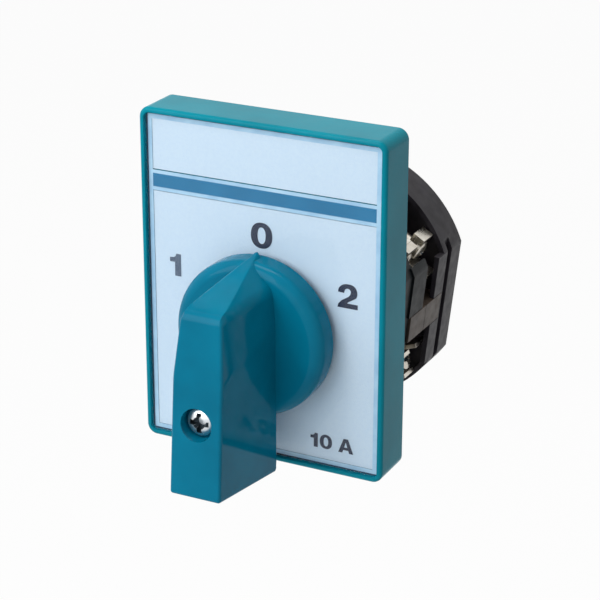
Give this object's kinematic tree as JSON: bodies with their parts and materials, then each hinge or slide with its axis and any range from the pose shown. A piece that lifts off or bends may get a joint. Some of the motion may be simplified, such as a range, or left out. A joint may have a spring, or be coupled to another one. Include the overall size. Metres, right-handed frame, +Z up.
{
  "type": "panel-mounted rotary changeover switch",
  "caption": "Panel-mounted three-position rotary changeover switch with a lever handle, a labelled escutcheon and a stack of cam contact stages with side terminals.",
  "frame": {"origin": "the shaft axis where it meets the panel face, which is the back rim of the escutcheon", "axes": "+X to the right seen from the operator, +Y along the shaft through the panel to the back, +Z up"},
  "size_m": [0.06, 0.0791, 0.0792],
  "materials": {
    "teal_plastic": "glossy moulded thermoplastic",
    "nickel_steel": "nickel-plated steel",
    "bright_steel": "bright ground steel",
    "black_plastic": "black moulded plastic",
    "clear_plastic": "clear polished plastic",
    "printed_card": "printed pale card",
    "brass": "bare brass",
    "ivory_plastic": "ivory moulded plastic",
    "brown_bakelite": "brown-black moulded phenolic"
  },
  "bodies": {
    "switch_body": {"escutcheon": "teal_plastic", "clear_window": "clear_plastic", "dial_card": "printed_card", "name_card": "printed_card", "fixing_screws": "nickel_steel", "front_housing": "black_plastic", "housing_inserts": "brass", "detent_spring_left": "bright_steel", "detent_spring_right": "bright_steel", "detent_plate": "bright_steel", "stage_body_1": "brown_bakelite", "stage_body_2": "brown_bakelite", "contact_spring_1_top": "bright_steel", "contact_spring_1_bottom": "bright_steel", "contact_spring_2_top": "bright_steel", "contact_spring_2_bottom": "bright_steel", "fixed_contacts_1": "brass", "fixed_contacts_2": "brass", "terminal_clamps_1": "nickel_steel", "terminal_clamps_2": "nickel_steel", "terminal_screws_1": "nickel_steel", "terminal_screws_2": "nickel_steel", "rear_cover": "brown_bakelite", "tie_screws": "nickel_steel", "tie_inserts": "brass"},
    "handle_and_shaft": {"handle": "teal_plastic", "handle_screw": "nickel_steel", "handle_driver": "black_plastic", "shaft": "bright_steel", "shaft_clip": "bright_steel", "detent_star": "ivory_plastic", "cam_1": "ivory_plastic", "cam_2": "ivory_plastic"},
    "moving_contact_1_top": {"plunger_1_top": "ivory_plastic", "bridge_1_top": "brass"},
    "moving_contact_1_bottom": {"plunger_1_bottom": "ivory_plastic", "bridge_1_bottom": "brass"},
    "moving_contact_2_top": {"plunger_2_top": "ivory_plastic", "bridge_2_top": "brass"},
    "moving_contact_2_bottom": {"plunger_2_bottom": "ivory_plastic", "bridge_2_bottom": "brass"}
  },
  "joints": [
    {"name": "handle_turn", "type": "hinge", "parent": "switch_body", "child": "handle_and_shaft", "pos_m": [0, 0, 0], "axis": [0, -1, 0], "range_deg": [-60, 60], "deforming": ["detent_spring_left", "detent_spring_right"]},
    {"name": "contact_1_top_lift", "type": "slide", "parent": "switch_body", "child": "moving_contact_1_top", "axis": [0.1132, 0, 0.9936], "range_m": [-0.00155, 0.00155], "deforming": ["contact_spring_1_top"]},
    {"name": "contact_1_bottom_lift", "type": "slide", "parent": "switch_body", "child": "moving_contact_1_bottom", "axis": [-0.1132, 0, -0.9936], "range_m": [-0.00155, 0.00155], "deforming": ["contact_spring_1_bottom"]},
    {"name": "contact_2_top_lift", "type": "slide", "parent": "switch_body", "child": "moving_contact_2_top", "axis": [0.1132, 0, 0.9936], "range_m": [-0.00155, 0.00155], "deforming": ["contact_spring_2_top"]},
    {"name": "contact_2_bottom_lift", "type": "slide", "parent": "switch_body", "child": "moving_contact_2_bottom", "axis": [-0.1132, 0, -0.9936], "range_m": [-0.00155, 0.00155], "deforming": ["contact_spring_2_bottom"]}
  ],
  "couplings": [
    {"joint": "contact_1_top_lift", "follows": "handle_turn", "m_per_rad": -0.0014324},
    {"joint": "contact_1_bottom_lift", "follows": "handle_turn", "m_per_rad": 0.0014324},
    {"joint": "contact_2_top_lift", "follows": "handle_turn", "m_per_rad": -0.0014324},
    {"joint": "contact_2_bottom_lift", "follows": "handle_turn", "m_per_rad": 0.0014324}
  ]
}
